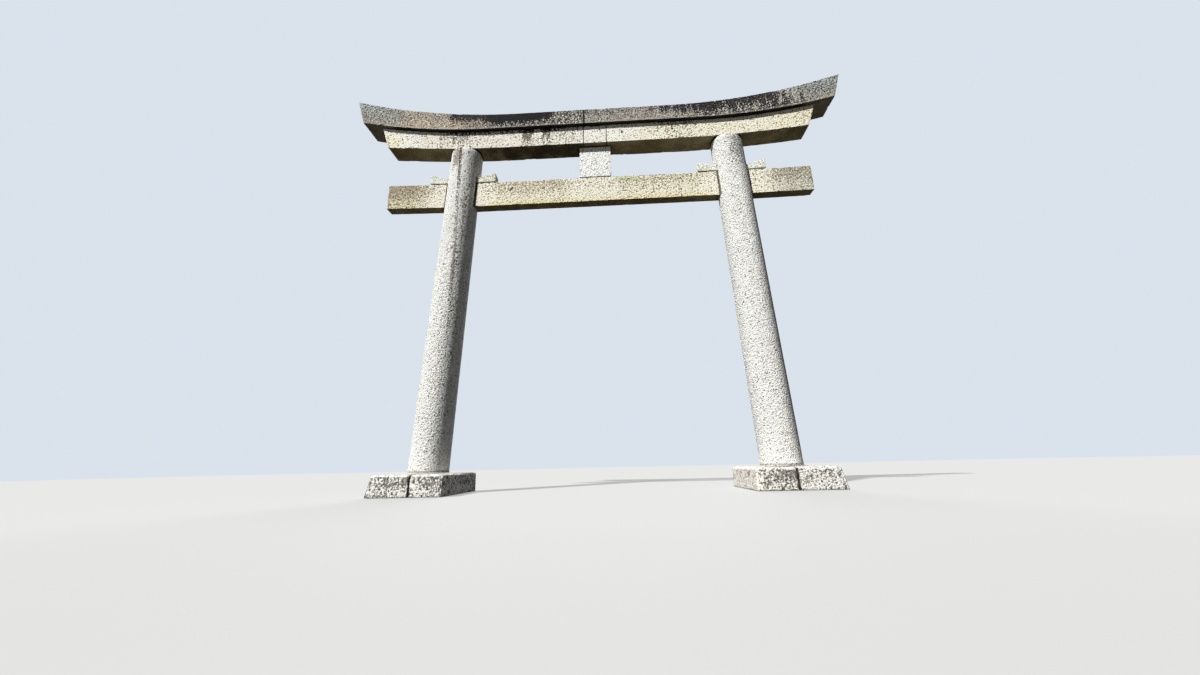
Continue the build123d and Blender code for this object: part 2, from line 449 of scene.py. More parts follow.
def leaning_shaft(recipe, given):
    """A tapering shaft. Left crisp makes the round of its head tighter on the left side."""
    height = given["Head level"] - given["Foot level"]
    counts = {
        "Vertices": given["Foot radius"] * 2 * math.pi / given["Spacing"],
        "Side Segments": height / given["Spacing"] + 1,
        "Fill Segments": 3,
        "Radius": 1.0,
        "Depth": 1.0,
    }
    shaft = recipe.node("GeometryNodeMeshCylinder", {"fill_type": "TRIANGLE_FAN"}, counts)
    place = position(recipe)
    # Where the cylinder's foot lies is measured, and not taken to be at the origin.
    lowest = recipe.node("GeometryNodeAttributeStatistic", {"data_type": "FLOAT"},
                         {"Geometry": shaft, 2: place.part(2)}, "Min")
    up = place.part(2) - lowest
    radius = given["Foot radius"] + up * (given["Head radius"] - given["Foot radius"])
    axis = given["Foot x"] + up * (given["Head x"] - given["Foot x"])
    z = given["Foot level"] + up * height
    head_round = given["Head round"] * (1 + place.part(0).smaller(0.0) * given["Left crisp"])
    bend = ((z - given["Head level"]) / head_round + 1).larger(0.0).smaller(1.0)
    radius = radius - head_round * (1 - (1 - bend * bend).root())
    x, y = axis + place.part(0) * radius, place.part(1) * radius
    return move(recipe, shaft, recipe.place(x, y, z))


def cut_mortise(recipe, shaft, given):
    """The shaft with a hole right through it along the gate."""
    low, top = given["Hole low"], given["Hole top"]
    longer_than_shaft = 3.0
    middle = recipe.place(given["Foot x"], 0.0, (low + top) * 0.5)
    size = recipe.place(longer_than_shaft, given["Hole depth"], top - low)
    hole = recipe.node("GeometryNodeMeshCube", {}, {"Size": size})
    hole = recipe.node("GeometryNodeTransform", {}, {"Geometry": hole, "Translation": middle})
    cut = recipe.node("GeometryNodeMeshBoolean", {"operation": "DIFFERENCE", "solver": "EXACT"},
                      {"Mesh 1": shaft, "Mesh 2": hole})
    return recipe.node("GeometryNodeTriangulate", {"ngon_method": "BEAUTY"}, {"Mesh": cut})


def round_shape():
    recipe, given = new_shape("round stone", round_inputs)
    shaft = leaning_shaft(recipe, given)
    side = abs(recipe.node("GeometryNodeInputNormal").part(2)).step(0.7, 0.3)
    shaft = push_in(recipe, shaft, hammering(recipe, given, 1.3) * side)
    shaft = cut_mortise(recipe, dent(recipe, shaft, given), given)
    close_shape(recipe, shaft, given["Finish"])
    return recipe.tree


round_stone = round_shape()

# %% [markdown]
# ## Finishes
# All stones are pale granite, but rain has treated each part in its own way. The cap catches the
# most water and carries black mould, the lintel is pale with drips below the cap's drip edge,
# the tie beam is warm and speckled, the columns have one dark streak where water runs down, and
# the foundation stones are mottled. One function gives the granite's own grain, and each finish
# then lays its stains over it, one Mix node for each.

# %% Colours
def new_finish(name):
    material = bpy.data.materials.new(name)
    material.use_nodes = True
    material.node_tree.nodes.clear()
    return material, Recipe(material.node_tree)


def blend(recipe, kind, share, first, second):
    """One Mix node for two colours, each of them a value or a plain red, green and blue."""
    values = {0: share, 6: (*first, 1) if isinstance(first, tuple) else first,
              7: (*second, 1) if isinstance(second, tuple) else second}
    return recipe.node("ShaderNodeMix", {"data_type": "RGBA", "blend_type": kind}, values, 2)


def mix(recipe, share, first, second):
    """Two colours mixed."""
    return blend(recipe, "MIX", share, first, second)


def tint(recipe, share, colour, tone):
    """A colour multiplied by a tone where the share is 1."""
    return blend(recipe, "MULTIPLY", share, colour, tone)


# %% [markdown]
# ## Where a stain lies
# A stain could be painted on an image, but then every stone would have to be unwrapped first, and
# the stain would be no finer than the image. Here a stain is placed by where it is on the gate, by
# where it is on the stone's own block before that was bent, or by the way the surface faces. A
# place along the gate is written as its middle, its half width and its soft edge, in metres.

# %% Places and masks
def on_gate(recipe):
    """Place on the gate, in metres."""
    return recipe.node("ShaderNodeTexCoord", out="Object")


def on_block(recipe, label="block", out="Vector"):
    """Place on the stone before it was bent, or another value kept on its points."""
    return recipe.node("ShaderNodeAttribute", {"attribute_name": label}, out=out)


def up_block(recipe, height):
    """Height on a stone's own block, from 0 at its lower edge to 1 at its upper edge."""
    return on_block(recipe).part(2) / height + 0.5


def facing(recipe, way):
    """How far the surface faces right, back or up, from -1 to 1."""
    axis = ("right", "back", "up").index(way)
    return recipe.node("ShaderNodeTexCoord", out="Normal").part(axis)


def near(value, centre, half_width, soft):
    """1 within half a width of the centre, falling to 0 over the soft part."""
    return abs(value - centre).step(half_width + soft, half_width)


def drips(recipe, place):
    """Noise that is drawn out downwards, as rain draws it, and is 0 on average."""
    return recipe.noise(place * (9.0, 9.0, 1.9), 1.0, 3.0, 0.6) - 0.5


# %% [markdown]
# ## Granite and the dirt in it
# From a few metres away granite isn't one colour. It is a pale ground with crisp darker pits, some
# 2 to 6 cm across, where dirt has settled. A soft cloud of noise looks like smoke on such a stone,
# so dirt is never laid on as a soft cloud. Its amount is compared with the grain, point by point,
# and the deepest pits take it first. A stain then thins out in specks, as it does on the gate.

# %% Granite
def settle(amount, grain):
    """Where dirt lies. The amount says how much of the surface, from 0 to 1."""
    grain_spread, speck_edge = 5.0, 0.12
    return (amount - 0.5 + (0.5 - grain) * grain_spread).step(-speck_edge, speck_edge)


def granite(recipe, place, pale, pits, relief, size=1.0, speck=(0.4, 0.39, 0.37), contrast=0.5):
    """Pale speckled stone: its colour, the bump that its grain makes, and the grain."""
    grain = recipe.noise(place, 25.0 / size) * 0.5 + recipe.noise(place, 40.0 / size) * 0.5
    patches = recipe.noise(place, 3.2, 4.0, 0.65) - 0.5
    colour = tint(recipe, patches.step(0.1, -0.15) * 0.6, pale, (0.88, 0.87, 0.85))
    colour = tint(recipe, grain.step(0.51, 0.45) * contrast, colour, (0.78, 0.77, 0.75))
    colour = tint(recipe, settle(pits + patches * 0.8, grain), colour, speck)
    colour = mix(recipe, grain.step(0.55, 0.6) * 0.4, colour, (0.95, 0.94, 0.9))
    values = {"Strength": 1.0, "Distance": relief, "Height": grain}
    return colour, recipe.node("ShaderNodeBump", {}, values), grain


def sooty_underside(recipe, place, colour, dark, brown):
    """Undersides never see rain, so they keep their soot and turn dark brown."""
    under = facing(recipe, "up").step(-0.35, -0.75)
    blotches = recipe.noise(place, 2.2, 5.0, 0.7).step(0.4, 0.62)
    return mix(recipe, under, colour, mix(recipe, blotches, dark, brown))


def close_finish(material, colour, bump, roughness=0.9):
    recipe = colour.recipe
    values = {"Base Color": colour, "Roughness": roughness, "Normal": bump}
    values["Specular IOR Level"] = 0.25  # stone shines very little
    shader = recipe.node("ShaderNodeBsdfPrincipled", {}, values)
    out = recipe.tree.nodes.new("ShaderNodeOutputMaterial")
    recipe.tree.links.new(shader.socket, out.inputs["Surface"])
    print(f"{material.name}: {len(recipe.tree.nodes)} nodes")
    return material


# %% [markdown]
# ## Levels, joints and leaning axes
# The stones meet at a few levels and joints. Dirt gathers at the same ones, so they are named once,
# before the first stain, and the stones are laid by them later. They are the fixed model's own
# sizes, in metres above the lowest ground or from the gate's middle. A column leans, so its axis is
# worked out for whatever level is asked for, be it a number or a value in a finish.

# %% Levels, joints and leaning axes
base_top, foot_level, head_level = 0.390, 0.420, 7.4595
tie_level, tie_top, mortise_top = 6.001, 6.595, 6.745
lintel_level, cap_level, eave_level = 7.399, 7.858, 8.235
left_joint, right_joint, cap_joint = -0.243, 0.270, -0.228
foot_x, head_x = 3.300, 2.945
tie_depth = 0.245
shadow_gap = 0.028  # between the tie beam and each side of a mortise
mortise_depth = tie_depth + 2 * shadow_gap


def column_share(level):
    """Share of the way from a column's foot to its head at a level."""
    return (level - foot_level) / (head_level - foot_level)


def column_axis(level):
    """Distance from the gate's middle to a column's axis at a level."""
    return foot_x - column_share(level) * (foot_x - head_x)


print(f"each column leans {foot_x - head_x:.3f} m towards the passage")

# %% [markdown]
# ## Columns
# Both shafts are nearly white. Water that runs off the lintel draws one plumb streak down the left
# shaft, and stains only the head of the right one. The shafts lean but water doesn't, so the streak
# is placed by its distance along the gate and crosses the shaft slowly. The left shaft's front is
# pitted, both shafts get painted light in front and painted shade where they turn away, and the
# left shaft's flank gets grey specks of painted shade. Those are placed by the way that the surface
# faces.

# %% The shafts' own stone
streak_x, washed_x, smear_x, right_stain_x = -2.985, -2.91, -3.08, 3.05


def shaft_stone(recipe, place, side, left):
    """Nearly white and pitted on the left; painted light in front, painted shade where it turns."""
    right, z = place.part(0).step(-1.0, 1.0), place.part(2)
    pitted = left * side.step(-0.3, 0.1) * side.step(0.85, 0.7)
    speck = mix(recipe, pitted, (0.68, 0.67, 0.65), (0.58, 0.57, 0.55))
    pits = pitted * 0.14 - left * 0.05 + 0.1
    pale = (0.82, 0.815, 0.775)
    colour, bump, grain = granite(
        recipe, place, pale, pits, relief=0.05, size=0.85, speck=speck, contrast=0.38)
    # Painted light: paler where a shaft faces the front, and on the right shaft's right front.
    colour = tint(recipe, near(side, 0.1, 0.16, 0.14), colour, (1.1, 1.1, 1.09))
    colour = tint(recipe, near(side, 0.35, 0.2, 0.15) * right, colour, (1.04, 1.04, 1.04))
    # Painted shade: darker on the flanks that turn away, and more so low on the right shaft.
    colour = tint(recipe, near(side, 0.66, 0.1, 0.16), colour, (0.86, 0.86, 0.86))
    turned = near(side, 0.74, 0.08, 0.1) * right * z.step(5.2, 4.2)
    return tint(recipe, turned, colour, (0.84, 0.84, 0.82)), bump, grain


# %% The shafts' stains
def shaft_stains(recipe, place, side, left, colour, grain):
    """Plumb streak, clean line beside it, grey painted shade on a flank, and both stained heads."""
    x, z = place.part(0), place.part(2)
    high = z.step(5.8, 6.8)
    run = drips(recipe, place) * 0.9
    line = near(x, streak_x, 0.024, 0.02) * (z.step(2.4, 3.8) * 0.6 + high * 0.5)
    clean_line = near(x, washed_x, 0.03, 0.02) * 0.3
    # Painted shade, laid as grey specks, on the left shaft's flank that turns away, most at
    # mid-height.
    grey = left * near(side, 0.45, 0.12, 0.12) * near(z, 5.2, 0.7, 0.6) * 0.6
    weathering_and_flank_shade = left * side.step(0.0, 0.3) * z.step(2.4, 3.6) * 0.08
    right_head = near(x, right_stain_x, 0.1, 0.11) * 0.6 * z.step(6.0, 6.9)
    amount = line - clean_line + grey + weathering_and_flank_shade + right_head + z.step(6.4, 7.3) * 0.1
    tone = mix(recipe, left * high, (0.3, 0.29, 0.275), (0.17, 0.16, 0.145))
    colour = tint(recipe, settle(amount + run - 0.12, grain) * 0.85, colour, tone)
    smear = near(x, smear_x, 0.08, 0.05) * z.step(6.7, 7.1)
    brown = settle(smear * 1.03 + run - 0.05, grain)
    return tint(recipe, brown * 0.85, colour, (0.38, 0.31, 0.26))


# %% Columns' finish
def column_finish():
    material, recipe = new_finish("column granite")
    place = on_gate(recipe)
    z = place.part(2)
    side = facing(recipe, "right")
    left = place.part(0).step(1.0, -1.0)
    colour, bump, grain = shaft_stone(recipe, place, side, left)
    colour = shaft_stains(recipe, place, side, left, colour, grain)
    # Painted shade: the walls inside the hole through the shaft are made dark.
    mortise_middle, mortise_half_height = 6.37, 0.37
    mortise_side = near(abs(place.part(1)), mortise_depth / 2, 0.003, 0.003)
    mortise = mortise_side * near(z, mortise_middle, mortise_half_height, 0.02)
    colour = tint(recipe, mortise, colour, (0.15, 0.14, 0.12))
    foot = near(z, foot_level + 0.005, 0.006, 0.012)
    colour = tint(recipe, foot * 0.6, colour, (0.4, 0.38, 0.33))
    return close_finish(material, colour, bump)


column_granite = column_finish()

# %% [markdown]
# ## Cap
# The cap is the upper lintel and is bare to the rain. It is the darkest and roughest stone: black
# mould hangs from its top edge in a fringe, most of all left of the middle and over the right
# column, and there is a warmer, cleaner stretch near the left end. Pale crust edges both tips. The
# mould could be painted, but then it would fit one view. Here mould and rust each get an amount
# along the gate, and noise makes their places ragged, so that no stain ends on a straight line.

# %% The cap's own stone
def cap_stone(recipe, place, up, fine):
    """Grey stone that is warmer near the left end, bright beside the mould and cold at the tips."""
    x = place.part(0)
    lower, tips = up.step(0.6, 0.3), abs(x).step(4.2, 5.0)
    pale, speck = (0.44, 0.42, 0.375), (0.25, 0.24, 0.23)
    colour, bump, grain = granite(recipe, place, pale, pits=0.22, relief=0.04, speck=speck)
    colour = tint(recipe, fine.step(0.52, 0.42) * 0.8, colour, (0.5, 0.48, 0.46))
    coarse = recipe.noise(place, 9.0, 3.0, 0.6)
    colour = tint(recipe, coarse.step(0.52, 0.44) * 0.75, colour, (0.75, 0.73, 0.69))
    colour = tint(recipe, up.step(0.65, 0.35), colour, (1.13, 1.1, 1.06))
    colour = tint(recipe, near(x, -3.7, 0.5, 0.4), colour, (1.2, 1.12, 1.02))
    colour = tint(recipe, near(x, -4.1, 0.8, 0.3) * lower, colour, (1.1, 1.09, 1.11))
    colour = tint(recipe, near(x, -0.6, 0.35, 0.15), colour, (1.36, 1.36, 1.38))
    colour = tint(recipe, near(x, 3.5, 0.9, 0.3), colour, (1.24, 1.24, 1.26))
    cold = mix(recipe, x.step(-1.0, 1.0), (0.88, 0.96, 1.02), (0.74, 0.83, 0.92))
    colour = tint(recipe, tips * up.step(0.3, 0.6), colour, cold)
    return tint(recipe, tips * lower, colour, (0.9, 0.93, 0.95)), bump, grain


# %% Mould and rust on the cap
def mould_amount(recipe, place, ragged, up):
    """How much of the cap's face is under mould, along the gate and up the face."""
    x = place.part(0)
    by_joint = near(ragged, -0.6, 0.3, 0.3)
    at_top = (near(ragged, -1.7, 0.5, 0.3) * 1.75 + near(ragged, -2.7, 0.45, 0.25) * 1.25
              + by_joint * 0.54 + near(ragged, 2.85, 1.0, 0.5)
              + near(ragged, 4.0, 0.3, 0.3) * 0.12 + near(ragged, 0.3, 0.5, 0.2) * 0.12 + 0.14)
    at_foot = (near(ragged, -1.75, 0.45, 0.4) * 0.6 - near(ragged, -2.75, 0.3, 0.3) * 0.1
               + by_joint * 0.62 + near(ragged, 3.4, 1.0, 0.8) * 0.62
               + near(ragged, 3.95, 0.35, 0.3) * 0.2)
    height = (up - near(x, -2.75, 0.3, 0.3) * 0.12).step(0.2, 0.8)
    fringe = recipe.noise(place * (24.0, 24.0, 5.0), 1.0, 2.0, 0.6) - 0.5
    teeth = drips(recipe, place) * (x.step(1.0, 2.0) * 1.1 + 1.5)
    return at_foot + (at_top - at_foot) * height + teeth + fringe * 0.9


def cap_mould(recipe, place, up, fine, colour, grain):
    """Rust halfway to the left end, and black mould over it that is paler where it is dry."""
    x = place.part(0)
    ragged = x + (recipe.noise(place * (1.0, 1.0, 0.35), 5.0, 3.0, 0.6) - 0.5) * 0.9
    rust = settle(drips(recipe, place) * 1.5 + up * 0.5 + 0.35, grain)
    rust = rust * near(ragged, -2.6, 0.45, 0.3)
    colour = tint(recipe, rust * 0.85, colour, (0.6, 0.43, 0.38))
    dry = fine.step(0.46, 0.62) * (0.7 - near(ragged, -1.7, 0.5, 0.3) * 0.6)
    mould = mix(recipe, dry, (0.01, 0.01, 0.0095), (0.11, 0.1, 0.09))
    return mix(recipe, settle(mould_amount(recipe, place, ragged, up), grain), colour, mould)


# %% Crust, joint, top and underside of the cap
def cap_edges(recipe, place, up, colour, grain):
    """Tip crust, drip edge, joint, lichened top, and an underside of soot and painted shade."""
    x = place.part(0)
    along_top = abs(x).step(3.8, 4.6) * up.step(0.8, 0.95)
    at_tip = abs(x).step(4.5, 5.1) * up.step(0.4, 0.7)
    crust = along_top.larger(at_tip) * abs(facing(recipe, "back")).step(0.3, 0.7)
    colour = mix(recipe, crust * grain.step(0.47, 0.53) * 0.55, colour, (0.6, 0.64, 0.58))
    colour = mix(recipe, up.step(0.16, 0.05) * 0.35, colour, (0.5, 0.48, 0.42))
    joint = near(x, cap_joint, 0.018, 0.012)
    colour = tint(recipe, joint * 0.95, colour, (0.05, 0.05, 0.045))
    lichen = settle(recipe.noise(place, 3.0, 4.0, 0.7) * 2.0 - 0.6, grain)
    weathering_and_flank_shade = mix(recipe, lichen, (0.06, 0.06, 0.055), (0.42, 0.43, 0.37))
    colour = mix(recipe, facing(recipe, "up").step(0.5, 0.85) * 0.85, colour, weathering_and_flank_shade)
    # Over the lintel the underside is nearly black, soot with painted shade; past its ends it is
    # soot brown.
    past_lintel = abs(x).step(4.5, 4.9)
    dark = mix(recipe, past_lintel, (0.014, 0.013, 0.012), (0.2, 0.17, 0.115))
    brown = mix(recipe, past_lintel, (0.04, 0.035, 0.027), (0.31, 0.27, 0.185))
    return sooty_underside(recipe, place, colour, dark, brown)


# %% Cap's finish
cap_height = eave_level - cap_level


def cap_finish():
    material, recipe = new_finish("cap granite")
    place = on_gate(recipe)
    up = up_block(recipe, cap_height)
    fine = recipe.noise(place * (1.0, 1.0, 0.6), 38.0, 2.0, 0.6)
    colour, bump, grain = cap_stone(recipe, place, up, fine)
    colour = cap_mould(recipe, place, up, fine, colour, grain)
    colour = cap_edges(recipe, place, up, colour, grain)
    return close_finish(material, colour, bump, roughness=0.95)


cap_granite = cap_finish()

# %% [markdown]
# ## Lower lintel
# The lower lintel is sheltered by the cap and stays pale, warm cream on the right. Water finds its
# way out at a few places only and runs down the face there in dark drips. The strip right under the
# cap is darker, in black specks. The drips are two layers of the same dirt, the second one only
# where the first is thickest, because a drip is darkest in its middle.

# %% Drips on the lower lintel
def lintel_drips(recipe, place, up, colour, grain):
    """Dark drips at a few places, and black specks in the strip under the cap."""
    x = place.part(0)
    ragged = x + (recipe.noise(place * (1.0, 1.0, 0.4), 8.0, 3.0, 0.6) - 0.5) * 0.35
    wet = (near(ragged, -3.15, 0.3, 0.25) * 0.55 + near(ragged, -1.52, 0.13, 0.09) * 0.9
           + near(ragged, -1.06, 0.05, 0.07) * 0.9 + near(ragged, -0.7, 0.35, 0.2) * 0.4
           + near(ragged, 1.8, 0.35, 0.25) * 0.6 + x.step(3.8, 4.2) * 0.2)
    trails = recipe.noise(place * (20.0, 20.0, 3.0), 1.0, 2.0, 0.6) - 0.5
    cleaner_right = x.step(-0.3, 0.6) * 0.16
    run = drips(recipe, place)
    amount = wet * (up * 0.7 + 0.5) + run * 1.1 + trails * 1.5 + up * 0.2 - 0.12 - cleaner_right
    colour = tint(recipe, settle(amount, grain) * 0.9, colour, (0.32, 0.3, 0.28))
    colour = tint(recipe, settle(amount * 1.3 - 0.75, grain) * 0.8, colour, (0.4, 0.38, 0.36))
    dark_top_strip = up.step(0.66, 0.85) * near(x, -2.1, 1.2, 0.3) + up.step(0.8, 1.0) * 0.4
    return tint(recipe, settle(dark_top_strip * 0.7 + run - 0.2, grain), colour, (0.2, 0.19, 0.18))


# %% Soot under the lower lintel
def lintel_underside(recipe, place, joints, colour):
    """Soot, darkest left of the middle, and black dirt with painted shade round the heads."""
    x, y = place.part(0), place.part(1)
    sootier = near(x, -1.5, 1.2, 0.5)
    dark = mix(recipe, sootier, (0.2, 0.155, 0.075), (0.05, 0.038, 0.02))
    brown = mix(recipe, sootier, (0.33, 0.265, 0.135), (0.2, 0.16, 0.083))
    head_edge = 0.318  # metres from a column's axis to the edge of its rounded head
    away = abs(x) - column_axis(lintel_level)
    from_axis = (away * away + y * y).root()
    # Painted shade with dirt: a black ring round each column head; the joints are black too.
    painted_shade_and_joints = near(from_axis, head_edge, 0.02, 0.012).larger(joints)
    dark, brown = [mix(recipe, painted_shade_and_joints, tone, (0.02, 0.017, 0.012)) for tone in (dark, brown)]
    return sooty_underside(recipe, place, colour, dark, brown)


# %% Lower lintel's finish
lintel_height = cap_level - lintel_level
pit_x, pit_z = 0.623, 7.652  # a pit that is dented into the face at the same place later


def lintel_finish():
    material, recipe = new_finish("lintel granite")
    place = on_gate(recipe)
    x = place.part(0)
    up = up_block(recipe, lintel_height)
    colour, bump, grain = granite(recipe, place, (0.92, 0.89, 0.79), pits=0.12, relief=0.03)
    colour = tint(recipe, x.step(0.3, 1.8), colour, (0.985, 0.965, 0.86))
    colour = tint(recipe, near(x, -2.2, 1.6, 0.3), colour, (0.94, 0.925, 0.9))
    colour = tint(recipe, x.step(3.8, 4.2), colour, (0.95, 0.94, 0.9))
    colour = lintel_drips(recipe, place, up, colour, grain)
    yellow_corner = x.step(-4.4, -4.55) * up.step(0.75, 0.45)
    colour = tint(recipe, yellow_corner * 0.7, colour, (0.98, 0.94, 0.72))
    pit = near(x, pit_x, 0.02, 0.015) * near(place.part(2), pit_z, 0.025, 0.015)
    colour = tint(recipe, pit, colour, (0.25, 0.24, 0.22))
    joints = near(x, left_joint, 0.006, 0.01).larger(near(x, right_joint, 0.006, 0.01))
    colour = tint(recipe, joints * 0.95, colour, (0.16, 0.15, 0.13))
    colour = lintel_underside(recipe, place, joints, colour)
    return close_finish(material, colour, bump)


lintel_granite = lintel_finish()

# %% [markdown]
# ## Tie beam
# The tie beam is warm in colour and coarsely speckled with brown. The columns and the strut shelter
# the stretches beside and below them, which stay pale and smooth. The ends are darkest, and the
# left one is blotched. The lower edge has an ochre line. A dark seam follows each leaning column,
# partly dirt at the joint and partly painted shadow of the column and its gap, so it is placed by
# its distance from the column's axis and not along the gate.

# %% Stains on the tie beam
def tie_stains(recipe, place, up, colour, grain):
    """Sheltered stretches, dark ends, brown specks, the ochre line and a green patch."""
    x = place.part(0)
    run = drips(recipe, place)
    sheltered = near(abs(x), 3.0, 0.6, 0.3).larger(near(x, -0.05, 0.4, 0.3))
    ends = abs(x).step(3.6, 4.2)
    colour = tint(recipe, sheltered * 0.6, colour, (1.08, 1.1, 1.18))
    colour = tint(recipe, ends * 0.8, colour, (0.74, 0.72, 0.68))
    colour = tint(recipe, x.step(3.6, 4.1), colour, (0.99, 1.03, 1.12))
    blotches = recipe.noise(place * (1.0, 1.0, 1.6), 8.0, 3.0, 0.65).step(0.54, 0.42)
    left_end = x.step(-3.2, -3.8)
    colour = tint(recipe, blotches * left_end * (up * 0.5 + 0.5), colour, (0.78, 0.76, 0.73))
    colour = tint(recipe, x.step(-3.9, -4.2) * up.step(0.5, 0.2), colour, (1.14, 1.12, 1.05))
    browner_left = x.step(0.8, -0.2) * 0.08
    amount = up.step(0.25, 0.7) * 0.45 + ends * 0.25 - sheltered * 0.35 + browner_left + run * 0.8
    colour = tint(recipe, settle(amount + 0.07, grain) * 0.85, colour, (0.5, 0.45, 0.38))
    ochre = (up + run * 0.5).step(0.22, 0.08) * abs(x).step(2.7, 2.2)
    colour = tint(recipe, ochre * 0.8, colour, (0.98, 0.94, 0.68))
    green = near(x, 0.66, 0.18, 0.15) * near(up, 0.86, 0.06, 0.08) * grain.step(0.44, 0.52)
    return mix(recipe, green * 0.6, colour, (0.5, 0.6, 0.3))


# %% Tie beam's finish
tie_height = tie_top - tie_level
gouge_x, gouge_z, gouge_turn = -1.871, 6.400, 42  # a long dent, turned in degrees from the level


def tie_finish():
    material, recipe = new_finish("tie granite")
    place = on_gate(recipe)
    x, z = place.part(0), place.part(2)
    up = up_block(recipe, tie_height)
    colour, bump, grain = granite(recipe, place, (0.855, 0.805, 0.63), pits=0.12, relief=0.03)
    colour = tie_stains(recipe, place, up, colour, grain)
    shaft_edge = 0.332  # metres from a column's axis to where the shaft closes round the beam
    from_axis = abs(abs(x) - column_axis(z))
    # This dark seam is partly dirt at the joint and partly painted shadow of the column and the
    # gap.
    seam = near(from_axis + (grain - 0.5) * 0.05, shaft_edge, 0.02, 0.006)
    colour = tint(recipe, seam * 0.9, colour, (0.12, 0.1, 0.08))
    cos, sin = math.cos(math.radians(gouge_turn)), math.sin(math.radians(gouge_turn))
    along = (x - gouge_x) * cos + (z - gouge_z) * sin
    across = (z - gouge_z) * cos - (x - gouge_x) * sin
    gouge = near(along, 0.0, 0.035, 0.02) * near(across, 0.0, 0.008, 0.012)
    colour = tint(recipe, gouge * 0.9, colour, (0.25, 0.22, 0.19))
    colour = tint(recipe, facing(recipe, "up").step(0.5, 0.85) * 0.8, colour, (0.6, 0.58, 0.52))
    colour = sooty_underside(recipe, place, colour, (0.15, 0.115, 0.052), (0.235, 0.185, 0.085))
    return close_finish(material, colour, bump)


tie_granite = tie_finish()

# %% [markdown]
# ## Strut and mortar
# The strut is the short stone between the tie beam and the lower lintel. It is the cleanest of
# all, nearly white, with a dark seam where it meets them; under the lintel that seam is a joint
# with painted shade. The mortar beds under the columns are a plain grey. Neither has a stain of
# its own, so one rule with two ground colours serves both.

# %% Strut's and mortar's finish
def clean_finish(name, pale, pits):
    material, recipe = new_finish(name)
    place = on_gate(recipe)
    speck = (0.52, 0.51, 0.49)
    colour, bump, _ = granite(recipe, place, pale, pits, relief=0.04, size=0.85, speck=speck)
    z = place.part(2)
    low_seam = near(z, tie_top + 0.003, 0.012, 0.01)
    # The upper seam, under the lintel, is a dark joint with painted contact shade.
    seam = low_seam.larger(near(z, lintel_level - 0.007, 0.016, 0.012))
    colour = tint(recipe, seam, colour, (0.08, 0.07, 0.06))
    colour = sooty_underside(recipe, place, colour, (0.2, 0.17, 0.11), (0.34, 0.3, 0.22))
    return close_finish(material, colour, bump)


strut_granite = clean_finish("strut granite", (0.98, 0.99, 0.935), pits=0.18)
bed_mortar = clean_finish("bed mortar", (0.5, 0.48, 0.43), pits=0.1)

# %% [markdown]
# ## Wedges
# The wedges have yellow-green lichen, more of it on the left. Each one's lower arris keeps dirt, so
# it has a dark line there. A wedge is tilted, so that line can't be placed by level: it comes from
# the distance to the arris that the worn block kept on its points.

# %% Wedges' finish
def wedge_finish():
    material, recipe = new_finish("wedge granite")
    place = on_gate(recipe)
    x, on_wedge = place.part(0), on_block(recipe).part(2)
    colour, bump, grain = granite(recipe, place, (0.86, 0.85, 0.78), pits=0.12, relief=0.025)
    lichen = settle(recipe.noise(place, 4.0, 3.0, 0.6) * 2.4 - 0.8, grain)
    colour = tint(recipe, lichen * (0.75 - x.step(-1.0, 1.0) * 0.35), colour, (0.76, 0.8, 0.52))
    worn_top = on_wedge.step(-0.02, 0.08) * x.step(0.0, -1.0)
    colour = tint(recipe, worn_top * 0.8, colour, (0.8, 0.8, 0.79))
    seam = on_block(recipe, "to_arris", "Fac").step(0.034, 0.014) * on_wedge.step(-0.04, -0.07)
    colour = tint(recipe, seam * 0.95, colour, (0.13, 0.115, 0.09))
    return close_finish(material, colour, bump)


wedge_granite = wedge_finish()

# %% [markdown]
# ## Foundation stones' finish
# The foundation stones stand in the splashes: dark blotches cover half of each face, the lower part
# is painted paler as painted light, and the top arris is worn round and white. The inner right
# stone is pinkish, and its inner corner is painted paler as well. The left base's shaded side
# gets near-black dirt, which is partly painted shade, on a paler ground, which is painted light,
# and the tops are painted darker as painted shade. The dirt is one amount again, made of blotches
# and of trails that are drawn out downwards, so a blotch and a trail that meet run into one.

# %% Dirt on the foundation stones
def base_dirt(place, blotches, trails, pink, side, right_corner):
    """How much of a foundation stone's face is under dirt, less where light is painted."""
    x, z = place.part(0), place.part(2)
    worn = (z + blotches * 0.04 + x.step(-1.0, 1.0) * 0.008).step(0.335, 0.355)
    left_end, right_end = x.step(-3.2, -3.3), x.step(3.2, 3.3)
    upper = near(z, 0.27, 0.06, 0.05) * (0.15 + left_end * 0.12) - right_end * 0.08
    # Painted light: the lower band and the right base's inner corner get less dirt, so they are
    # paler.
    painted_light_paler = z.step(0.2, 0.12) * (0.04 + pink * 0.14) + right_corner * 0.6
    return (blotches * 2.2 + trails * 2.0 + upper + pink * 0.3 + left_end * 0.04 - painted_light_paler
            - worn * 1.4 - side * 0.08 + 0.41)


# %% Foundation stones' finish
base_joint = 3.240


